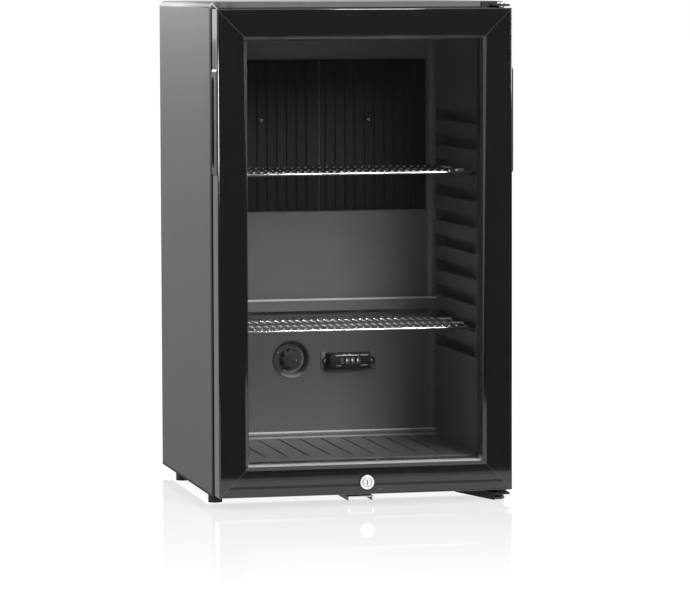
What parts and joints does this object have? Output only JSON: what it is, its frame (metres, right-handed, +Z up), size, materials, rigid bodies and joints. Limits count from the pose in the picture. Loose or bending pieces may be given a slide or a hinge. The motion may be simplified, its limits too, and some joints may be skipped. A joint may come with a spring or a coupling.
{
  "type": "minibar fridge",
  "caption": "Small absorption fridge with a hinged glass door, wire shelves in moulded guides, a thermostat knob, an inside lamp and a door lock.",
  "frame": {"origin": "centre of the part's footprint at floor level, under the feet", "axes": "+X to the right seen from the front, +Y from the door to the rear, +Z up; the door faces -Y"},
  "size_m": [0.403, 0.4306, 0.67],
  "materials": {
    "shell_paint": "satin dark grey paint",
    "black_enamel": "black enamel on steel",
    "frame_black": "gloss black",
    "black_plastic": "black, slightly rough",
    "liner_grey": "moulded dark grey plastic",
    "foam": "rigid cream foam",
    "zinc_sheet": "zinc plated sheet",
    "zinc_bright": "bright zinc",
    "bright_wire": "bright plated wire",
    "chrome": "polished chrome",
    "aluminium": "mill finish",
    "door_glass": "clear float glass",
    "lens_clear": "clear plastic lens",
    "gasket_rubber": "soft dark grey seal",
    "foot_rubber": "black rubber",
    "board_white": "white coated circuit board",
    "led_white": "white light chip",
    "mineral_wool": "pressed mineral wool",
    "copper_tube": "thin copper capillary",
    "white_plastic": "white plastic"
  },
  "bodies": {
    "cabinet": {"outer_shell": "shell_paint", "base_tray": "black_enamel", "front_frame": "frame_black", "foam_insulation": "foam", "inner_liner": "liner_grey", "rear_wall_sheet": "zinc_sheet", "evaporator_plate_left": "black_enamel", "evaporator_plate_right": "black_enamel", "liner_screws": "zinc_bright", "evaporator_blocks": "aluminium", "evaporator_tube": "black_enamel", "thermostat_bezel": "black_plastic", "thermostat_body": "black_plastic", "thermostat_capillary": "copper_tube", "lamp_housing": "black_plastic", "lamp_lens": "lens_clear", "lamp_board": "board_white", "lamp_leds": "led_white", "shelf_upper": "bright_wire", "shelf_lower": "bright_wire", "drain_tube": "white_plastic", "drip_tray": "black_plastic", "feet": "foot_rubber", "lower_hinge_bracket": "black_enamel", "upper_hinge_bracket": "black_enamel", "hinge_pins": "zinc_bright", "fixing_screws": "zinc_bright", "hinge_hole_plugs": "black_plastic", "lock_strike": "zinc_bright", "boiler_case": "zinc_sheet", "boiler_wool": "mineral_wool", "boiler_tube": "black_enamel", "heater_cartridge": "zinc_bright", "condenser_tube": "black_enamel", "condenser_fins": "aluminium", "absorber_coil": "black_enamel", "absorber_vessel": "black_enamel", "heat_exchanger_tube": "black_enamel", "unit_brackets": "zinc_sheet", "terminal_box": "black_plastic", "mains_inlet": "black_plastic"},
    "door": {"door_stile_left": "frame_black", "door_stile_right": "frame_black", "door_rail_top": "frame_black", "door_rail_bottom": "frame_black", "corner_keys": "aluminium", "outer_glass": "door_glass", "inner_glass": "door_glass", "glazing_spacer": "aluminium", "glazing_bead": "black_plastic", "door_gasket": "gasket_rubber", "handle_left": "black_plastic", "handle_right": "black_plastic", "hinge_bushes": "black_plastic", "lock_case": "chrome"},
    "lock_core": {"lock_plug": "chrome", "lock_cam": "zinc_bright"},
    "thermostat": {"thermostat_knob": "black_plastic", "thermostat_shaft": "zinc_bright"},
    "levelling_foot": {"levelling_foot": "black_plastic"}
  },
  "joints": [
    {"name": "door_hinge", "type": "hinge", "parent": "cabinet", "child": "door", "pos_m": [0.189, -0.19775, 0], "axis": [0, 0, 1], "range_deg": [0, 130]},
    {"name": "lock_turn", "type": "hinge", "parent": "door", "child": "lock_core", "pos_m": [0, -0.21375, 0.032], "axis": [0, -1, 0], "range_deg": [0, 90]},
    {"name": "thermostat_turn", "type": "hinge", "parent": "cabinet", "child": "thermostat", "pos_m": [-0.041, 0, 0.171], "axis": [0, -1, 0], "range_deg": [-80, 190]},
    {"name": "levelling_foot_turn", "type": "hinge", "parent": "cabinet", "child": "levelling_foot", "pos_m": [0.189, -0.18175, 0], "axis": [0, 0, 1], "range_deg": [-360, 360]}
  ]
}
